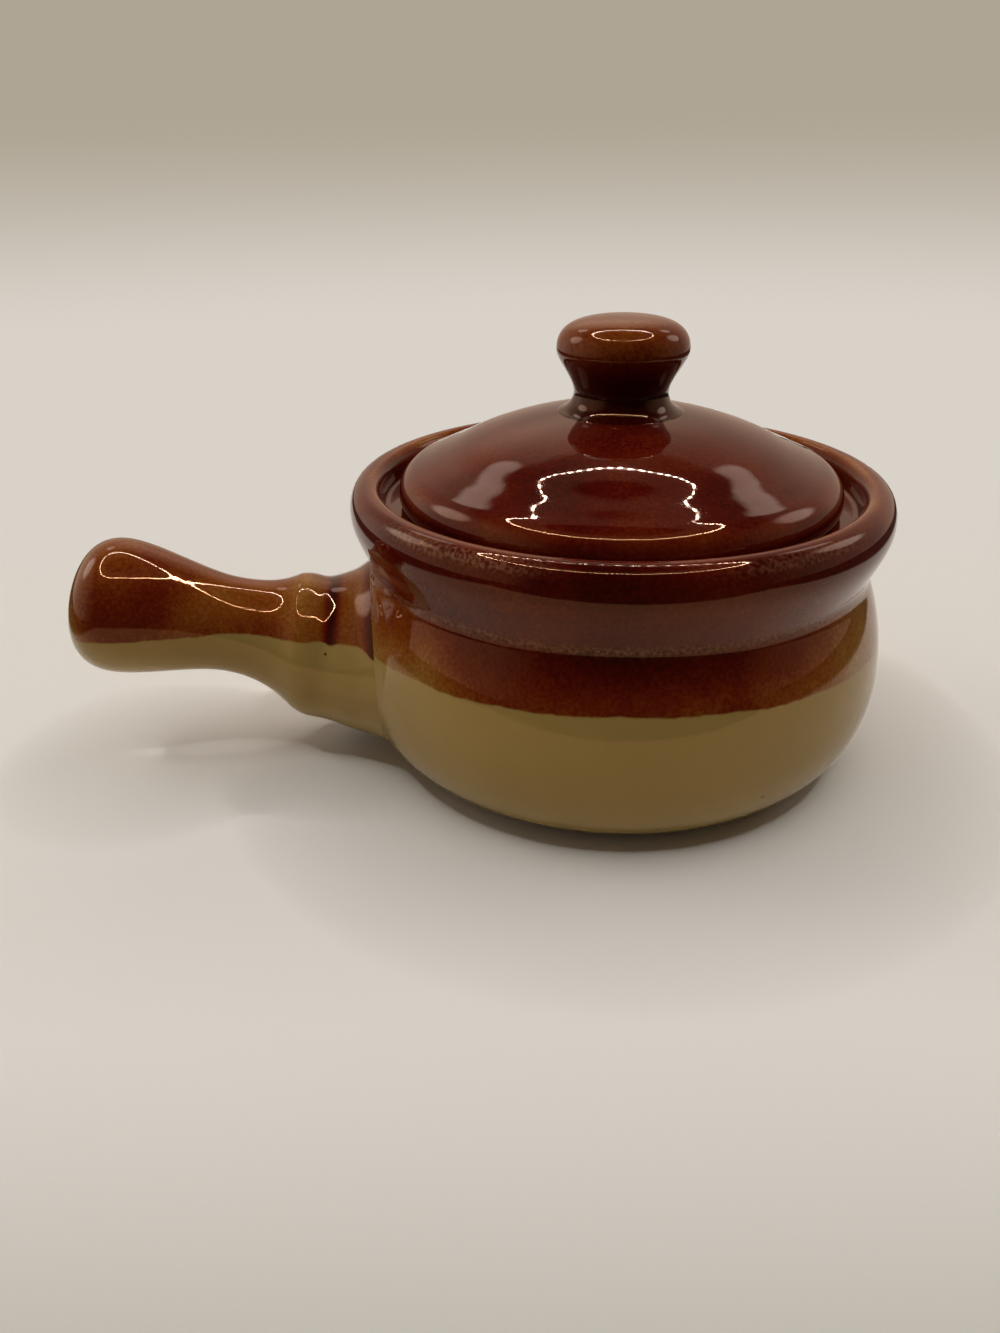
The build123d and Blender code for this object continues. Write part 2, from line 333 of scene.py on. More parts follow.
# %% [markdown]
# Underneath, the lid is hollow, and a narrow ring without glaze sits on the ledge of the bowl. The
# outline starts in the middle of the hollow, goes round the ring and the lip, and ends at the crown. The
# glaze thins where it bends over the lip.

# %% Lid
seat_inner, seat_outer, skirt_top, lid_hollow_top, hollow_fullness = 46.0, 48.4, 63.0, 76.0, 0.55
lid_melt, lid_spacing, lid_base_thin, lip_thin = 0.25, 0.4, 0.2, 0.14
lip_bend, lip_bend_wide, lip_over, lid_wiped = 1.6, 1.5, 1, (0.7, 0.4)

lip_under = quarter_ellipse((seat_outer, lip_widest), lip - seat_outer, lip_widest - ledge_height, 270)
lid_hollow = bulge(
    (seat_inner, skirt_top), (seat_inner, lid_hollow_top), (0, lid_hollow_top), hollow_fullness
)
lid_top = np.vstack([dome, shoulder, edge])[::-1]
lid_outline = softened(
    np.vstack([lid_hollow[::-1], [(seat_inner, ledge_height)], lip_under, lid_top]), lid_melt, lid_spacing
)
lid_vertices, lid_faces = turned(lid_outline)
lid_radius, lid_height = np.hypot(lid_vertices[:, 0], lid_vertices[:, 1]), lid_vertices[:, 2]
on_lip = near(lid_radius, lip - lip_bend, lip_bend_wide) * (lid_height > lip_widest + lip_over)
lid_thin = lid_base_thin + lip_thin * on_lip
lid_bare = step(lid_height - ledge_height, *lid_wiped)
lid = add_piece(
    "stoneware_lid", lid_vertices, lid_faces, "lid_dome", "lid", "brown_glaze",
    above_dip=np.full(len(lid_vertices), all_brown), thin=lid_thin, bare=lid_bare, worn=0 * lid_height,
)

# %% [markdown]
# The knob was turned by itself and stuck on the lid with slip, so its root sinks a little into the dome
# and follows it. The glaze has run off its cap, which is lighter, and pooled round its neck, which is
# nearly black. It could be one mesh with the lid, but a joint between two solids stays crisp, as the real
# one does.

# %% Knob
knob, knob_widest, knob_top, cap_fullness = 14.7, 93.9, 101.0, 0.72
knob_neck, knob_neck_height, under_share, cap_share = 10.6, 84.8, 0.3, 0.7
knob_root, root_bend, root_lift, neck_start, sunk = 14.4, 12.4, 0.5, 82.6, 0.4
knob_melt, knob_spacing, root_steps, neck_thin, cap_thin = 0.2, 0.4, 20, 0.02, 0.44

root_reach = np.linspace(0, knob_root, root_steps)
root_height = np.interp(knob_root, dome_reach, dome_height)
under_run = under_share * (knob_widest - knob_neck_height)
knob_outline = softened(np.vstack([
    np.column_stack([root_reach, np.interp(root_reach, dome_reach, dome_height) - sunk]),
    bezier(
        (knob_root, root_height), (root_bend, root_height + root_lift),
        (knob_neck, neck_start), (knob_neck, knob_neck_height),
    ),
    bezier(
        (knob_neck, knob_neck_height), (knob_neck, knob_neck_height + under_run),
        (knob, knob_widest - cap_share * under_run), (knob, knob_widest),
    ),
    bulge((knob, knob_widest), (knob, knob_top), (0, knob_top), cap_fullness),
]), knob_melt, knob_spacing)
knob_vertices, knob_faces = turned(knob_outline)
knob_height = knob_vertices[:, 2]
knob_thin = neck_thin + cap_thin * step(knob_height, knob_neck_height + 2, knob_widest + 1)
knob_piece = add_piece(
    "stoneware_knob", knob_vertices, knob_faces, "lid_knob", "lid", "brown_glaze",
    above_dip=np.full(len(knob_vertices), all_brown), thin=knob_thin,
    bare=0 * knob_height, worn=0 * knob_height,
)

# %% [markdown]
# The handle was cast hollow in a mould and luted to the belly with slip. From its round tip it narrows to
# a waist, spreads to a bead like a collar, dips in a soft groove, and flares over the belly. Its axis
# rises outwards and bends a little at the bead. So it is one tube of rings: each ring has a middle, a
# tilt and a radius. A curve with a bevel could make a tube too, but its rings stand square to its path,
# and here some lean.

# %% Rings along the handle
waist, rise, bead_rise = np.array([-92.8, 0, 32.2]), 14.2, 7.5
ring_steps = 160
round_ring = np.linspace(0, 2 * np.pi, ring_steps, endpoint=False)


def outwards(degrees):
    """The direction out along the handle at an angle of rise."""
    angle = np.radians(degrees) * np.ones(1)
    return np.stack([-np.cos(angle), 0 * angle, np.sin(angle)], axis=-1)


def rings(middle, degrees, half_width, half_height):
    """Ellipses across the handle: middle, plus width by the cosine sideways and height by the sine up."""
    angle = np.radians(degrees) * np.ones(1)
    up = np.stack([np.sin(angle), 0 * angle, np.cos(angle)], axis=-1)[:, None, :]
    sideways = np.array([0, 1, 0])
    across = np.cos(round_ring)[:, None] * sideways
    wide, high = np.reshape(half_width, (-1, 1, 1)), np.reshape(half_height, (-1, 1, 1))
    return np.reshape(middle, (-1, 1, 3)) + wide * across + high * np.sin(round_ring)[:, None] * up


# %% [markdown]
# The tip is rounded, and an easy S-curve runs from the bulb to the waist. Its slope matters, because it
# decides how far the mirrored ring of lamps is drawn out along the handle. From the waist a quicker curve
# rises to the bead, whose back falls like a quarter of an ellipse. A few stacked circles could be skinned
# instead, but curves of distance and radius are easier to fit to a picture.

# %% Bulb, waist and bead
waist_radius, bulb_radius, bulb_at, tip_at, tip_fullness = 11.5, 15.9, 25.4, 36.6, 0.66
swell_leaves, swell_arrives, flare_from, flare_to, ring_spacing = 0.71, 0.29, 0.7, 0.8, 0.7
bead_at, bead_radius, bead_drop, groove_radius, bead_back = 18.7, 17.9, 2.1, 14.6, 3.4
back_first, back_last, back_count = 0.5, 2.2, 4

tip_curve = bulge((tip_at, 0), (tip_at, bulb_radius), (bulb_at, bulb_radius), tip_fullness)
swell_curve = bezier(
    (bulb_at, bulb_radius), (swell_leaves * bulb_at, bulb_radius),
    (swell_arrives * bulb_at, waist_radius), (0, waist_radius),
)
bulb_curve = evenly(np.vstack([tip_curve, swell_curve]), ring_spacing)[1:]
bulb_rings = rings(waist + bulb_curve[:, :1] * outwards(rise), rise, bulb_curve[:, 1], bulb_curve[:, 1])

flare_curve = evenly(bezier(
    (0, waist_radius), (flare_from * bead_at, waist_radius),
    (flare_to * bead_at, bead_radius), (bead_at, bead_radius),
), ring_spacing)[1:]
flare_share = flare_curve[:, 0] / bead_at
flare_middle = waist - flare_curve[:, :1] * outwards(rise) - np.outer(bead_drop * flare_share**2, [0, 0, 1])
flare_tilt = rise + (bead_rise - rise) * flare_share
flare_rings = rings(flare_middle, flare_tilt, flare_curve[:, 1], flare_curve[:, 1])

bead_middle = flare_middle[-1]
back_off = np.linspace(back_first, back_last, back_count)
back_radius = groove_radius + (bead_radius - groove_radius) * np.sqrt(1 - (back_off / bead_back) ** 2)
back_rings = rings(bead_middle - back_off[:, None] * outwards(bead_rise), bead_rise, back_radius, back_radius)
print("handle rings", len(bulb_rings) + len(flare_rings) + len(back_rings))

# %% [markdown]
# The root has to meet a belly that curves both ways. A curve of the second degree through three rings
# flares from the groove into the bowl. Each line along it is followed into the bowl's wall and stopped
# two millimetres under the glaze, so nothing shows inside the bowl. Near the belly the lines bend
# outwards, as the slip did when a wet finger smoothed the joint. A Boolean modifier could cut the root,
# but it leaves long thin faces that shade badly.

# %% Root of the handle
collar_off, collar_radius = 2.1, 16.7
spread_middle, spread_wide, spread_high = [-66.0, 0, 23.5], 20.4, 18.8
inside_middle, inside_wide, inside_high = [-50.5, 0, 25.0], 27.0, 22.4
spread_share, wall_depth, slip_reach, slip_push = 0.315, 2.0, 3.0, 1.3
root_start, root_ring_count, root_gather, search_steps = 0.05, 40, 0.9, 400

collar = rings(bead_middle - collar_off * outwards(bead_rise), bead_rise, collar_radius, collar_radius)[0]
spread = rings(spread_middle, 0, spread_wide, spread_high)[0]
inside = rings(inside_middle, 0, inside_wide, inside_high)[0]


def off_belly(points):
    """How far points stand out from the bowl's outside: their radius less the outline's at their height."""
    belly_there = np.interp(points[..., 2], bowl_side[:, 1], bowl_side[:, 0])
    return np.hypot(points[..., 0], points[..., 1]) - belly_there


def root_points(share):
    """The quadratic through the three root rings, pushed outwards by the slip near the belly."""
    share = np.asarray(share)[..., None]
    first = (share - spread_share) * (share - 1) / spread_share
    second = share * (share - 1) / (spread_share * (spread_share - 1))
    third = share * (share - spread_share) / (1 - spread_share)
    points = first * collar + second * spread + third * inside
    ring_out = np.stack([0 * round_ring, np.cos(round_ring), np.sin(round_ring)], axis=-1)
    push = slip_push * np.clip(1 - off_belly(points) / slip_reach, 0, 1) ** 2
    return points + push[..., None] * ring_out


share_steps = np.linspace(root_start, 1, search_steps)
in_wall = off_belly(root_points(np.repeat(share_steps[:, None], ring_steps, axis=1))) < -wall_depth
root_end = share_steps[np.argmax(in_wall, axis=0)]
root_share = np.linspace(0, 1, root_ring_count)[:, None] ** root_gather
root_rings = root_points(root_start + root_share * (root_end - root_start))
print("root ends at shares", root_end.min().round(2), "to", root_end.max().round(2))

# %% [markdown]
# Where bead, groove and root meet, the rings are smoothed along the handle, so that the glaze flows
# through the groove. Then the four runs of rings become one closed tube. Blender's Smooth modifier would
# round the tip and the waist as well, so only these rings are smoothed.

# %% Surface of the handle
groove_melt, groove_spacing, rings_of_bead = 2.0, 0.6, 6
root_cap_depth, root_cap_height = 0.5, 25.0

groove_start = len(bulb_rings) + len(flare_rings) - rings_of_bead
handle_rings = np.concatenate([bulb_rings, flare_rings, back_rings, root_rings])
groove = handle_rings[groove_start:].reshape(-1, 3 * ring_steps)
handle_rings[groove_start:] = smoothed(groove, groove_melt, groove_spacing).reshape(-1, ring_steps, 3)
tip_end = waist + tip_at * outwards(rise)[0]
root_cap = [-(belly - wall_depth - root_cap_depth), 0, root_cap_height]
handle_vertices = np.vstack([handle_rings.reshape(-1, 3), [tip_end, root_cap]])
print("handle", len(handle_rings), "rings of", ring_steps)

# %% [markdown]
# The handle was dipped with the bowl, so its dip line runs on from the belly. The glaze lies thick in the
# groove and in the joint, thinner on the shaft and the bead, and thinnest over the tip and the top of the
# root. The crest of the bead is paler still: the glaze breaks there, and the paleness is also a painted
# highlight. As on the bowl, these are numbers per vertex, so that one glaze serves both pieces.

# %% Glaze on the handle
handle_dip_mid, dip_tip_rise, dip_bead_drop, joint_dip, groove_dip = 34.8, 1.1, 1.2, 1.6, 0.8
shaft_thin, bulb_thick, tip_thin, root_thin, bead_thin_and_highlight = 0.53, 0.22, 0.36, 0.2, 0.08
bulb_low_thin, bulb_top_thin, groove_thick, joint_thick = 0.12, 0.14, 0.6, 0.5
groove_at, groove_height, groove_lean, groove_wide = -69.4, 26, 0.13, 1.5
bead_crest_at, bead_wide, joint_wide = -75, 3, 1.1
dip_rises, dip_drops = (-95, -120), (-92, -78)
bulb_starts, tip_starts, root_starts = (-98, -110), (-119, -128), (-80, -72)
root_top, bulb_low, bulb_top = (5, 13), (5, 0), (8, 15)

handle_x, handle_z = handle_vertices[:, 0], handle_vertices[:, 2]
handle_dip = handle_dip_mid + dip_tip_rise * step(handle_x, *dip_rises)
handle_dip -= dip_bead_drop * step(handle_x, *dip_drops)
in_joint = near(off_belly(handle_vertices), 0, joint_wide)
in_groove = near(handle_x - groove_lean * (handle_z - groove_height), groove_at, groove_wide)
# The bead's crest is paler. The glaze is thinner there, and the paleness is also a painted highlight.
bead_crest_and_highlight = near(handle_x, bead_crest_at, bead_wide)
on_bulb = step(handle_x, *bulb_starts)
at_root = step(handle_x, *root_starts)
handle_above = handle_z - handle_dip + joint_dip * in_joint + groove_dip * in_groove
handle_thin_and_highlight = shaft_thin - bulb_thick * on_bulb + tip_thin * step(handle_x, *tip_starts)
handle_thin_and_highlight += root_thin * at_root * step(handle_above, *root_top)
bulb_thin = bulb_low_thin * step(handle_above, *bulb_low) + bulb_top_thin * step(handle_above, *bulb_top)
handle_thin_and_highlight += on_bulb * bulb_thin
handle_thin_and_highlight += bead_thin_and_highlight * bead_crest_and_highlight - groove_thick * in_groove - joint_thick * in_joint
handle = add_piece(
    "stoneware_handle", handle_vertices, grid_faces(len(handle_rings), ring_steps),
    "stick_handle", "crock", "two_tone_glaze",
    above_dip=handle_above, thin=handle_thin_and_highlight, bare=0 * handle_x, worn=0 * handle_x,
)

# %% [markdown]
# Colours are hex values as a colour picker shows them, and one function turns them into the linear light
# that the shader adds up. Nodes could be set up by hand in the editor; one small function adds a node,
# sets it and links it. The words for common settings are kept here too.

# %% Colours and nodes
def linear(hex_colour):
    """An sRGB hex colour as linear red, green, blue and a full alpha."""
    levels = np.array([int(hex_colour[place : place + 2], 16) for place in (1, 3, 5)]) / 255
    light = np.where(levels <= 0.04045, levels / 12.92, ((levels + 0.055) / 1.055) ** 2.4)
    return (*light.tolist(), 1.0)


def add(tree, kind, settings=None, inputs=None):
    """One node of a tree: settings are its own properties, inputs are sockets to link or values to set."""
    made = tree.nodes.new("ShaderNode" + kind)
    for name, value in (settings or {}).items():
        setattr(made, name, value)
    for socket, value in (inputs or {}).items():
        if isinstance(value, bpy.types.NodeSocket):
            tree.links.new(value, made.inputs[socket])
        else:
            made.inputs[socket].default_value = value
    return made


def per_metre(size_in_mm):
    """A texture's scale, counted in repeats to the metre, from the size of one repeat."""
    return 1000 / size_in_mm


plus, minus, times, over = ({"operation": word} for word in ("ADD", "SUBTRACT", "MULTIPLY", "DIVIDE"))
larger, unsigned, to_power = ({"operation": word} for word in ("MAXIMUM", "ABSOLUTE", "POWER"))
dot, length = {"operation": "DOT_PRODUCT"}, {"operation": "LENGTH"}
smooth, colours = {"interpolation_type": "SMOOTHSTEP"}, {"data_type": "RGBA"}

# %% [markdown]
# Brown iron glaze on stoneware. Where it is thick it is a dark maroon, nearly black, and where it is thin
# the pale clay shows through it as caramel, so the thinness of each vertex picks a colour on a ramp. Iron
# gathers in the melt: clouds of two centimetres, and specks, shift the thinness a little. The real specks
# and flecks are finer, and are drawn just under a millimetre so that they show. Scuffed places, the line
# along the crease and a painted sheen on the rim break up into pale flecks. The clouds could be painted,
# but noise in the crock's own coordinates has no seam.

# %% Brown glaze
brown_stops = {0.0: "#2E0603", 0.2: "#4E0D06", 0.4: "#65210A", 0.6: "#7F4212", 0.8: "#8F642A", 1.0: "#A08850"}
noise_low, noise_high = 0.3, 0.7
cloud_size, cloud_shift, speck_size, speck_shift = 22, 0.14, 0.8, 0.08
fleck_size, fleck_low, fleck_high, rubbed_and_sheen_colour = 0.8, 0.4, 0.66, "#90694A"


def brown_colour(tree, place, clouds, thin_place, worn_place):
    """The ramp's colour at the thinness, shifted by clouds and specks, with pale flecks where the crock is
    scuffed, along the crease, and as a painted sheen.
    """
    specks = add(
        tree, "TexNoise", None, {"Vector": place, "Scale": per_metre(speck_size), "Detail": 2.0}
    ).outputs["Fac"]
    thinness = thin_place
    for noise, shift in ((clouds, cloud_shift), (specks, speck_shift)):
        lift = add(
            tree, "MapRange", None, {0: noise, 1: noise_low, 2: noise_high, 3: -shift, 4: shift}
        ).outputs[0]
        thinness = add(tree, "Math", plus, {0: thinness, 1: lift}).outputs[0]
    ramp = add(tree, "ValToRGB", None, {"Fac": thinness})
    stops = ramp.color_ramp.elements
    for place_on_ramp in list(brown_stops)[1:-1]:
        stops.new(place_on_ramp)
    for stop, (place_on_ramp, colour) in zip(stops, brown_stops.items()):
        stop.position, stop.color = place_on_ramp, linear(colour)
    flecks = add(
        tree, "TexNoise", None, {"Vector": place, "Scale": per_metre(fleck_size), "Detail": 5.0}
    ).outputs["Fac"]
    fleck_share = add(tree, "MapRange", None, {0: flecks, 1: fleck_low, 2: fleck_high}).outputs[0]
    # The pale flecks show scuffing, and on the right of the rim a painted sheen.
    rubbed_and_sheen = add(tree, "Math", times, {0: worn_place, 1: fleck_share}).outputs[0]
    ramp_colour = ramp.outputs["Color"]
    return add(tree, "Mix", colours, {0: rubbed_and_sheen, 6: ramp_colour, 7: linear(rubbed_and_sheen_colour)}).outputs[2]


# %% [markdown]
# The cream glaze under the brown is opaque and even, with a few dark pits where a bubble burst in the
# kiln. The brown ends on it in a line that is ragged by half a millimetre, as a dipped glaze does where
# it dries. A colour painted on vertices would end in a blur as wide as a face, so the height above the
# dip line is compared here, point by point, and noise is added to it first.

# %% Cream glaze and the dip line
ragged_size, ragged_by, line_half_width = 3.5, 0.5, 0.3
cream_deep, cream_pale = "#967C43", "#A3894E"
pit_spacing, pit_inner, pit_outer, pit_colour = 16, 0.016, 0.03, "#4A3418"


def dipped_colour(tree, place, clouds, above_place, brown_over):
    """Brown where the height above the dip line plus noise is over 0, and cream with pits elsewhere."""
    ragged = add(
        tree, "TexNoise", None, {"Vector": place, "Scale": per_metre(ragged_size), "Detail": 6.0}
    ).outputs["Fac"]
    raggedness = add(tree, "MapRange", None, {0: ragged, 3: -ragged_by, 4: ragged_by}).outputs[0]
    ragged_height = add(tree, "Math", plus, {0: above_place, 1: raggedness}).outputs[0]
    brown_share = add(
        tree, "MapRange", smooth, {0: ragged_height, 1: -line_half_width, 2: line_half_width}
    ).outputs[0]
    cream = add(tree, "Mix", colours, {0: clouds, 6: linear(cream_deep), 7: linear(cream_pale)}).outputs[2]
    pits = add(
        tree, "TexVoronoi", None, {"Vector": place, "Scale": per_metre(pit_spacing)}
    ).outputs["Distance"]
    past_pit = add(tree, "MapRange", None, {0: pits, 1: pit_inner, 2: pit_outer}).outputs[0]
    pitted = add(tree, "Mix", colours, {0: past_pit, 6: linear(pit_colour), 7: cream}).outputs[2]
    return add(tree, "Mix", colours, {0: brown_share, 6: pitted, 7: brown_over}).outputs[2]


# %% [markdown]
# A glaze is coloured glass over clay, so it is smooth, with an index of refraction near 1.5: it mirrors
# four parts in a hundred of the light that falls straight on it, and more at a slant. A warm tint on that
# mirror stands for the iron in the glass. It never lies quite flat, so a low bump, some millimetres wide,
# bends the mirrored lamps a little. Bare clay, where the glaze was wiped off, is pale and rough. Two
# layered shaders could stand for clay and glass, but one Principled shader has both a colour and a
# mirror.

# %% Stoneware glazes
gloss_rough, clay_rough, clay_colour = 0.035, 0.85, "#B8A285"
glass_ior, mirror_tint, peel_size, peel_height = 1.5, "#FFBE84", 7, 0.04


def glaze(name, cream_shows):
    """Glazed stoneware: brown by its thinness, cream under the dip line, and bare clay where it was wiped."""
    material = bpy.data.materials.new(name)
    material.use_nodes = True
    tree = material.node_tree
    shader = tree.nodes["Principled BSDF"]
    place = add(tree, "TexCoord").outputs["Object"]
    above_place, thin_place, bare_place, worn_place = (
        add(tree, "Attribute", {"attribute_name": attribute}).outputs["Fac"]
        for attribute in ("above_dip", "thin", "bare", "worn")
    )
    clouds = add(
        tree, "TexNoise", None, {"Vector": place, "Scale": per_metre(cloud_size), "Detail": 3.0}
    ).outputs["Fac"]
    colour = brown_colour(tree, place, clouds, thin_place, worn_place)
    if cream_shows:
        colour = dipped_colour(tree, place, clouds, above_place, colour)
    colour = add(tree, "Mix", colours, {0: bare_place, 6: colour, 7: linear(clay_colour)}).outputs[2]
    rough = add(tree, "MapRange", None, {0: bare_place, 3: gloss_rough, 4: clay_rough}).outputs[0]
    peel = add(
        tree, "TexNoise", None, {"Vector": place, "Scale": per_metre(peel_size), "Detail": 2.0}
    ).outputs["Fac"]
    bump = add(tree, "Bump", None, {"Height": peel, "Strength": 1.0, "Distance": peel_height * mm}).outputs[0]
    for socket, value in {"Base Color": colour, "Roughness": rough, "Normal": bump}.items():
        tree.links.new(value, shader.inputs[socket])
    shader.inputs["IOR"].default_value = glass_ior
    shader.inputs["Specular Tint"].default_value = linear(mirror_tint)
    print(name, len(tree.nodes), "nodes")
    return material


two_tone = glaze("glazed_stoneware_brown_over_cream", True)
brown = glaze("glazed_stoneware_brown", False)
for piece, material in ((bowl, two_tone), (handle, two_tone), (lid, brown), (knob_piece, brown)):
    piece.data.materials.append(material)

# %% [markdown]
# The crock stands on a pale table. The table is one flat disc, a tenth of a millimetre under the foot so
# that the two do not flicker. It isn't part of the crock.

# %% Floor
floor_radius, floor_sunk = 0.66, 0.1 * mm

floor_rim = np.column_stack([floor_radius * np.cos(turn), floor_radius * np.sin(turn), 0 * turn - floor_sunk])
floor_mesh = bpy.data.meshes.new("floor")
floor_mesh.from_pydata(floor_rim.tolist(), [], [np.arange(turn_steps).tolist()])
floor = bpy.data.objects.new("floor", floor_mesh)
scene.collection.objects.link(floor)
print("floor", 2 * floor_radius, "m across")

# %% [markdown]
# The camera stands in front, a little left of the middle, and looks down. Its place and its angles were
# worked out from the outlines of the rim, the foot and the handle in the photo, so the render has the
# same view. On an upright picture 1333 pixels high, this lens has a focal length of about 1000 pixels. A
# camera could be turned until the picture looks right, but then nothing could be measured in it.

# %% Camera
camera_place = np.array([-47.9, -224.2, 133.3])
heading, pitch, roll = math.radians(5.055), math.radians(27.39), math.radians(0.73)
lens, sensor, nearest = 27.0, 36.0, 0.01

camera = bpy.data.objects.new("camera", bpy.data.cameras.new("camera"))
scene.collection.objects.link(camera)
forward = np.array([
    math.sin(heading) * math.cos(pitch), math.cos(heading) * math.cos(pitch), -math.sin(pitch)
])
right = np.array([math.cos(heading), -math.sin(heading), 0])
down = np.cross(forward, right)
across_view = math.cos(roll) * right + math.sin(roll) * down
up_view = math.sin(roll) * right - math.cos(roll) * down
view = np.eye(4)
view[:3, :3] = np.column_stack([across_view, up_view, -forward])
view[:3, 3] = camera_place * mm
camera.matrix_world = Matrix(view.tolist())
camera.data.lens, camera.data.sensor_width, camera.data.clip_start = lens, sensor, nearest
scene.camera = camera
print("camera at", camera_place.tolist(), "mm")

# %% [markdown]
# The glaze mirrors the table, and in the belly the table's front and side edges are seen as the line
# where the pale mirror image turns dark. So for mirrored light the table is dark past a set distance,
# forwards and sideways. The disc could be cut to that size, but for the camera the table has no edge.

# %% Table in the mirror
floor_colour, table_front, table_side = "#E3E1D8", 0.18, 0.21
edge_starts, edge_ends, past_edge = 0.93, 1.07, 0.06

table = bpy.data.materials.new("pale_table")
table.use_nodes = True
tree = table.node_tree
tree.nodes.clear()
towards_camera = (-math.sin(heading), -math.cos(heading), 0)
place = add(tree, "TexCoord").outputs["Object"]
seen = add(tree, "LightPath").outputs["Is Camera Ray"]
frontwards = add(tree, "VectorMath", dot, {0: place, 1: towards_camera}).outputs["Value"]
sidewards = add(tree, "VectorMath", dot, {0: place, 1: right.tolist()}).outputs["Value"]
side_gap = add(tree, "Math", unsigned, {0: sidewards}).outputs[0]
front_reach = add(tree, "Math", over, {0: frontwards, 1: table_front}).outputs[0]
side_reach = add(tree, "Math", over, {0: side_gap, 1: table_side}).outputs[0]
table_reach = add(tree, "Math", larger, {0: front_reach, 1: side_reach}).outputs[0]
on_table = add(
    tree, "MapRange", smooth, {0: table_reach, 1: edge_starts, 2: edge_ends, 3: 1.0, 4: past_edge}
).outputs[0]
table_share = add(tree, "Math", larger, {0: on_table, 1: seen}).outputs[0]
table_colour = add(
    tree, "Mix", colours, {0: table_share, 6: linear("#000000"), 7: linear(floor_colour)}
).outputs[2]
lit = add(tree, "BsdfDiffuse", None, {"Color": table_colour}).outputs[0]
print("table reaches", table_front, "m forwards and", table_side, "m sideways")

# %% [markdown]
# The camera sees the table lit and shaded near the crock, and from 65 mm out a little glow is mixed in,
# which paints the crock's shadow paler. Further out it fades to an even glow in the backdrop's colour, and
# a strip in front is darker: painted shade, where the light falls off. The table shows no pattern there,
# so it has none.

# %% Table for the camera
# The front strip's colour is painted shade, where the light on the table falls off.
front_strip_shade, floor_far = "#A9A499", "#D9D2C9"
near_strip, strip_half_width, strip_side_starts, strip_side_ends = 0.165, 0.06, 0.1, 0.22
front_starts, front_ends, round_starts, round_ends, round_most = 0.06, 0.2, 0.065, 0.11, 0.1

off_strip = add(tree, "Math", minus, {0: frontwards, 1: near_strip}).outputs[0]
strip_gap = add(tree, "Math", unsigned, {0: off_strip}).outputs[0]
past_strip = add(tree, "MapRange", None, {0: strip_gap, 1: 0.0, 2: strip_half_width}).outputs[0]
past_side = add(tree, "MapRange", None, {0: side_gap, 1: strip_side_starts, 2: strip_side_ends}).outputs[0]
far_share = add(tree, "Math", larger, {0: past_strip, 1: past_side}).outputs[0]
far_colour = add(tree, "Mix", colours, {0: far_share, 6: linear(front_strip_shade), 7: linear(floor_far)}).outputs[2]
faded = add(tree, "Emission", None, {"Color": far_colour}).outputs[0]
front_gap = add(tree, "Math", unsigned, {0: frontwards}).outputs[0]
front_fade = add(tree, "MapRange", None, {0: front_gap, 1: front_starts, 2: front_ends}).outputs[0]
from_middle = add(tree, "VectorMath", length, {0: place}).outputs["Value"]
# Glow mixed in round the crock, up to a tenth of the colour, is painted light. It makes the crock's shadow on
# the table paler.
shadow_lift_glow = add(
    tree, "MapRange", None, {0: from_middle, 1: round_starts, 2: round_ends, 4: round_most}
).outputs[0]
fade = add(tree, "Math", larger, {0: front_fade, 1: shadow_lift_glow}).outputs[0]
fade_seen = add(tree, "Math", times, {0: fade, 1: seen}).outputs[0]
table_mix = add(tree, "MixShader", None, {0: fade_seen, 1: lit, 2: faded}).outputs[0]
add(tree, "OutputMaterial", None, {"Surface": table_mix})
floor_mesh.materials.append(table)
print(table.name, len(tree.nodes), "nodes")

# %% [markdown]
# The light is that of a small white tent: walls behind and beside the crock, a ring of small lamps
# overhead, and a dark opening in front. A glossy glaze mirrors all of it. Area lamps could stand for the
# walls, but the mirrored shapes matter here, so the light is drawn by direction: as height over the
# horizon and as turn round the crock in degrees, where a turn of 0 is towards the camera. First come the
# walls. They are brighter behind than beside, brightest in the middle of the back, and end under the
# ceiling.

# %% Walls of the tent
wall_strength, side_strength, dim, wall_colour = 0.8, 0.4, 0.05, "#D9BEA8"
side_starts, side_ends, wall_turn, wall_turn_soft = 45.0, 85.0, 121.0, 12
wall_top, wall_top_soft, over_wall, wall_shade_from, wall_top_shade = 47.0, 2, 0.3, 15.0, 0.6
glow_strength, glow_turn_starts, glow_turn_ends, glow_low, glow_high = 0.9, 152.0, 176.0, 14.0, 30.0

world = bpy.data.worlds.new("white_tent")
scene.world = world
world.use_nodes = True
tree = world.node_tree
tree.nodes.clear()
way = add(tree, "TexCoord").outputs["Generated"]
to_right = add(tree, "VectorMath", dot, {0: way, 1: right.tolist()}).outputs["Value"]
to_front = add(tree, "VectorMath", dot, {0: way, 1: towards_camera}).outputs["Value"]
upward = add(tree, "SeparateXYZ", None, {0: way}).outputs["Z"]
turn_angle = add(tree, "Math", {"operation": "ARCTAN2"}, {0: to_right, 1: to_front}).outputs[0]
turn_size = add(tree, "Math", unsigned, {0: turn_angle}).outputs[0]
turn_degrees = add(tree, "Math", {"operation": "DEGREES"}, {0: turn_size}).outputs[0]
high_angle = add(tree, "Math", {"operation": "ARCSINE"}, {0: upward}).outputs[0]
high = add(tree, "Math", {"operation": "DEGREES"}, {0: high_angle}).outputs[0]

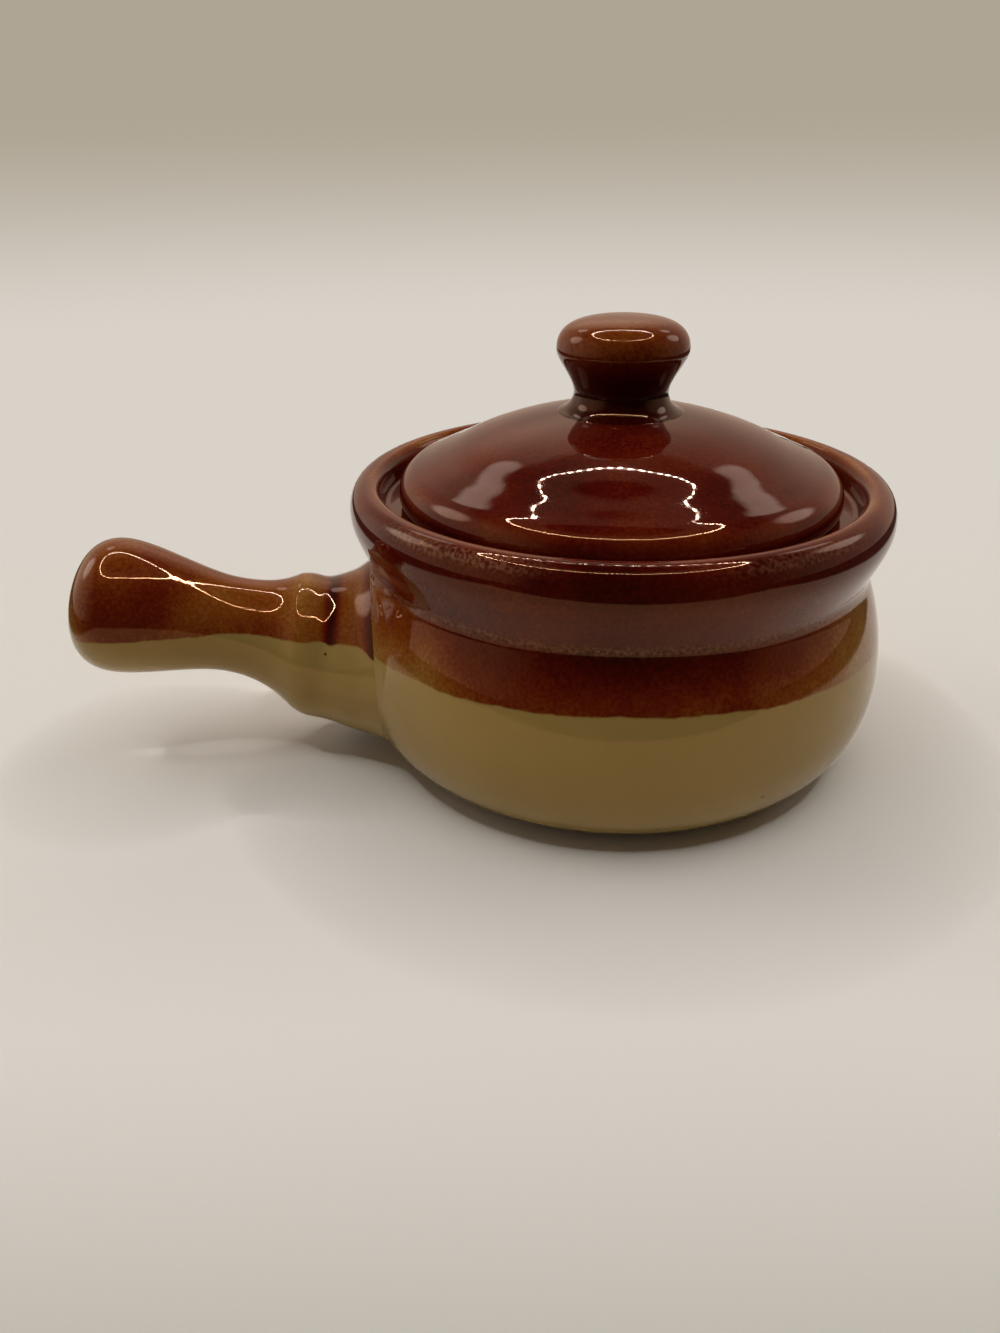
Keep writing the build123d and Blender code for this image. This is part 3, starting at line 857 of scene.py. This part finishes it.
side_walls = add(
    tree, "MapRange", smooth, {0: turn_degrees, 1: side_starts, 2: side_ends, 3: dim, 4: side_strength}
).outputs[0]
back_walls = add(tree, "MapRange", smooth, {
    0: turn_degrees, 1: wall_turn - wall_turn_soft, 2: wall_turn + wall_turn_soft,
    4: wall_strength - side_strength,
}).outputs[0]
glow_across = add(
    tree, "MapRange", smooth, {0: turn_degrees, 1: glow_turn_starts, 2: glow_turn_ends}
).outputs[0]
glow_up = add(tree, "MapRange", smooth, {0: high, 1: glow_low, 2: glow_high, 4: glow_strength}).outputs[0]
glow = add(tree, "Math", times, {0: glow_across, 1: glow_up}).outputs[0]
plain_walls = add(tree, "Math", plus, {0: side_walls, 1: back_walls}).outputs[0]
all_walls = add(tree, "Math", plus, {0: plain_walls, 1: glow}).outputs[0]
under_ceiling = add(tree, "MapRange", smooth, {
    0: high, 1: wall_top - wall_top_soft, 2: wall_top + wall_top_soft, 3: 1.0, 4: over_wall,
}).outputs[0]
wall_shade = add(
    tree, "MapRange", None, {0: high, 1: wall_shade_from, 2: wall_top, 3: 1.0, 4: wall_top_shade}
).outputs[0]
shaded_walls = add(tree, "Math", times, {0: all_walls, 1: wall_shade}).outputs[0]
walls = add(tree, "Math", times, {0: shaded_walls, 1: under_ceiling}).outputs[0]
print("walls up to", wall_top, "degrees")

# %% [markdown]
# The lamps sit in a ring in the ceiling. A direction meets the ceiling at its sideways and forward parts
# divided by its upward part, and there the ring is an ellipse. Inside it the ceiling is pale, with a dark
# hole in the middle. Along the ring, a cosine of the turn makes the separate lamps, which draw the dotted
# loops that the glaze mirrors. Ninety small lamp objects could do it too, but one formula is easier to
# tune.

# %% Ring of lamps
lamps_wide, lamps_deep, lamps_back, lamps_power = 0.54, 0.52, 0.125, 2.0
lamp_half_width, lamp_count, lamp_strength, lamp_colour = 0.009, 90, 248.0, "#FAF8FA"
lamp_gap, lamp_full, gap_share, lowest, band_full, band_none = -0.35, 0.6, 0.05, 0.05, 0.5, 1.2
ceiling_strength, hole_size, hole_soft, hole_light, ring_soft = 0.48, 0.6, 0.07, 0.02, 0.05

over_head = add(tree, "Math", larger, {0: upward, 1: lowest}).outputs[0]
powers = []
for part, middle, half_size in ((to_right, 0.0, lamps_wide), (to_front, -lamps_back, lamps_deep)):
    ceiling_place = add(tree, "Math", over, {0: part, 1: over_head}).outputs[0]
    off_middle = add(tree, "Math", minus, {0: ceiling_place, 1: middle}).outputs[0]
    middle_gap = add(tree, "Math", unsigned, {0: off_middle}).outputs[0]
    share = add(tree, "Math", over, {0: middle_gap, 1: half_size}).outputs[0]
    powers.append(add(tree, "Math", to_power, {0: share, 1: lamps_power}).outputs[0])
both = add(tree, "Math", plus, {0: powers[0], 1: powers[1]}).outputs[0]
ring_place = add(tree, "Math", to_power, {0: both, 1: 1 / lamps_power}).outputs[0]
inside_ring = add(tree, "MapRange", smooth, {0: ring_place, 1: 1 + ring_soft, 2: 1 - ring_soft}).outputs[0]
ceiling = add(tree, "MapRange", smooth, {
    0: ring_place, 1: hole_size - hole_soft, 2: hole_size + hole_soft, 3: hole_light, 4: ceiling_strength,
}).outputs[0]
room = add(tree, "Mix", None, {0: inside_ring, 2: walls, 3: ceiling}).outputs[0]

lamp_wave = add(tree, "Math", times, {0: turn_angle, 1: float(lamp_count)}).outputs[0]
lamp_cosine = add(tree, "Math", {"operation": "COSINE"}, {0: lamp_wave}).outputs[0]
dots = add(
    tree, "MapRange", None, {0: lamp_cosine, 1: lamp_gap, 2: lamp_full, 3: gap_share, 4: 1.0}
).outputs[0]
off_ring = add(tree, "Math", minus, {0: ring_place, 1: 1.0}).outputs[0]
ring_gap = add(tree, "Math", unsigned, {0: off_ring}).outputs[0]
ring_band = add(tree, "MapRange", smooth, {
    0: ring_gap, 1: band_full * lamp_half_width, 2: band_none * lamp_half_width, 3: lamp_strength, 4: 0.0,
}).outputs[0]
lamp_light = add(tree, "Math", times, {0: ring_band, 1: dots}).outputs[0]
print(lamp_count, "lamps in the ring")

# %% [markdown]
# Some round patches of the walls are lit more: two pairs high at the back and sides, which the lid
# mirrors as pale patches left and right of the loop, and a broad low one on each side, which brightens
# the sides of belly, knob and bulb. Each is a soft spot round a direction, by the cosine of the angle to
# it. Painting them on a picture of the surroundings is the usual way, but these few spots need no
# picture.

# %% Lit patches of the walls
patches = (
    # turn, height, radius, all in degrees, and strength
    (-153, 42, 6, 1.5), (139, 42, 6, 1.4),
    (-113, 31, 14, 2.3), (111, 32, 13, 1.9),
    (-88, 6, 54, 0.36), (88, 6, 44, 0.08),
)
full_share = 0.5

for patch_turn, patch_high, patch_size, patch_strength in patches:
    level, up = math.cos(math.radians(patch_high)), math.sin(math.radians(patch_high))
    sideways, ahead = math.sin(math.radians(patch_turn)), math.cos(math.radians(patch_turn))
    aim = level * (sideways * right + ahead * np.array(towards_camera)) + np.array([0, 0, up])
    facing = add(tree, "VectorMath", dot, {0: way, 1: aim.tolist()}).outputs["Value"]
    outer, inner = math.cos(math.radians(patch_size)), math.cos(math.radians(full_share * patch_size))
    patch = add(
        tree, "MapRange", smooth, {0: facing, 1: outer, 2: inner, 3: 0.0, 4: patch_strength}
    ).outputs[0]
    lamp_light = add(tree, "Math", plus, {0: lamp_light, 1: patch}).outputs[0]
lit_walls = add(tree, "Background", None, {"Color": linear(wall_colour), "Strength": room}).outputs[0]
lamps = add(tree, "Background", None, {"Color": linear(lamp_colour), "Strength": lamp_light}).outputs[0]
tent = add(tree, "AddShader", None, {0: lit_walls, 1: lamps}).outputs[0]
print(len(patches), "lit patches")

# %% [markdown]
# The camera sees a plain backdrop instead of the tent. It goes on from the pale table and darkens
# upwards. Only camera rays see it, so it adds no light to the crock. A real wall would be mirrored in the
# glaze.

# %% Backdrop
backdrop_low, backdrop_high, backdrop_starts, backdrop_ends = "#D9D2C9", "#AEA594", -8.5, 2.0

backdrop_share = add(tree, "MapRange", smooth, {0: high, 1: backdrop_starts, 2: backdrop_ends}).outputs[0]
backdrop_colour = add(
    tree, "Mix", colours, {0: backdrop_share, 6: linear(backdrop_low), 7: linear(backdrop_high)}
).outputs[2]
backdrop = add(tree, "Background", None, {"Color": backdrop_colour}).outputs[0]
seen = add(tree, "LightPath").outputs["Is Camera Ray"]
mixed = add(tree, "MixShader", None, {0: seen, 1: tent, 2: backdrop}).outputs[0]
add(tree, "OutputWorld", None, {"Surface": mixed})
print(world.name, len(tree.nodes), "nodes")
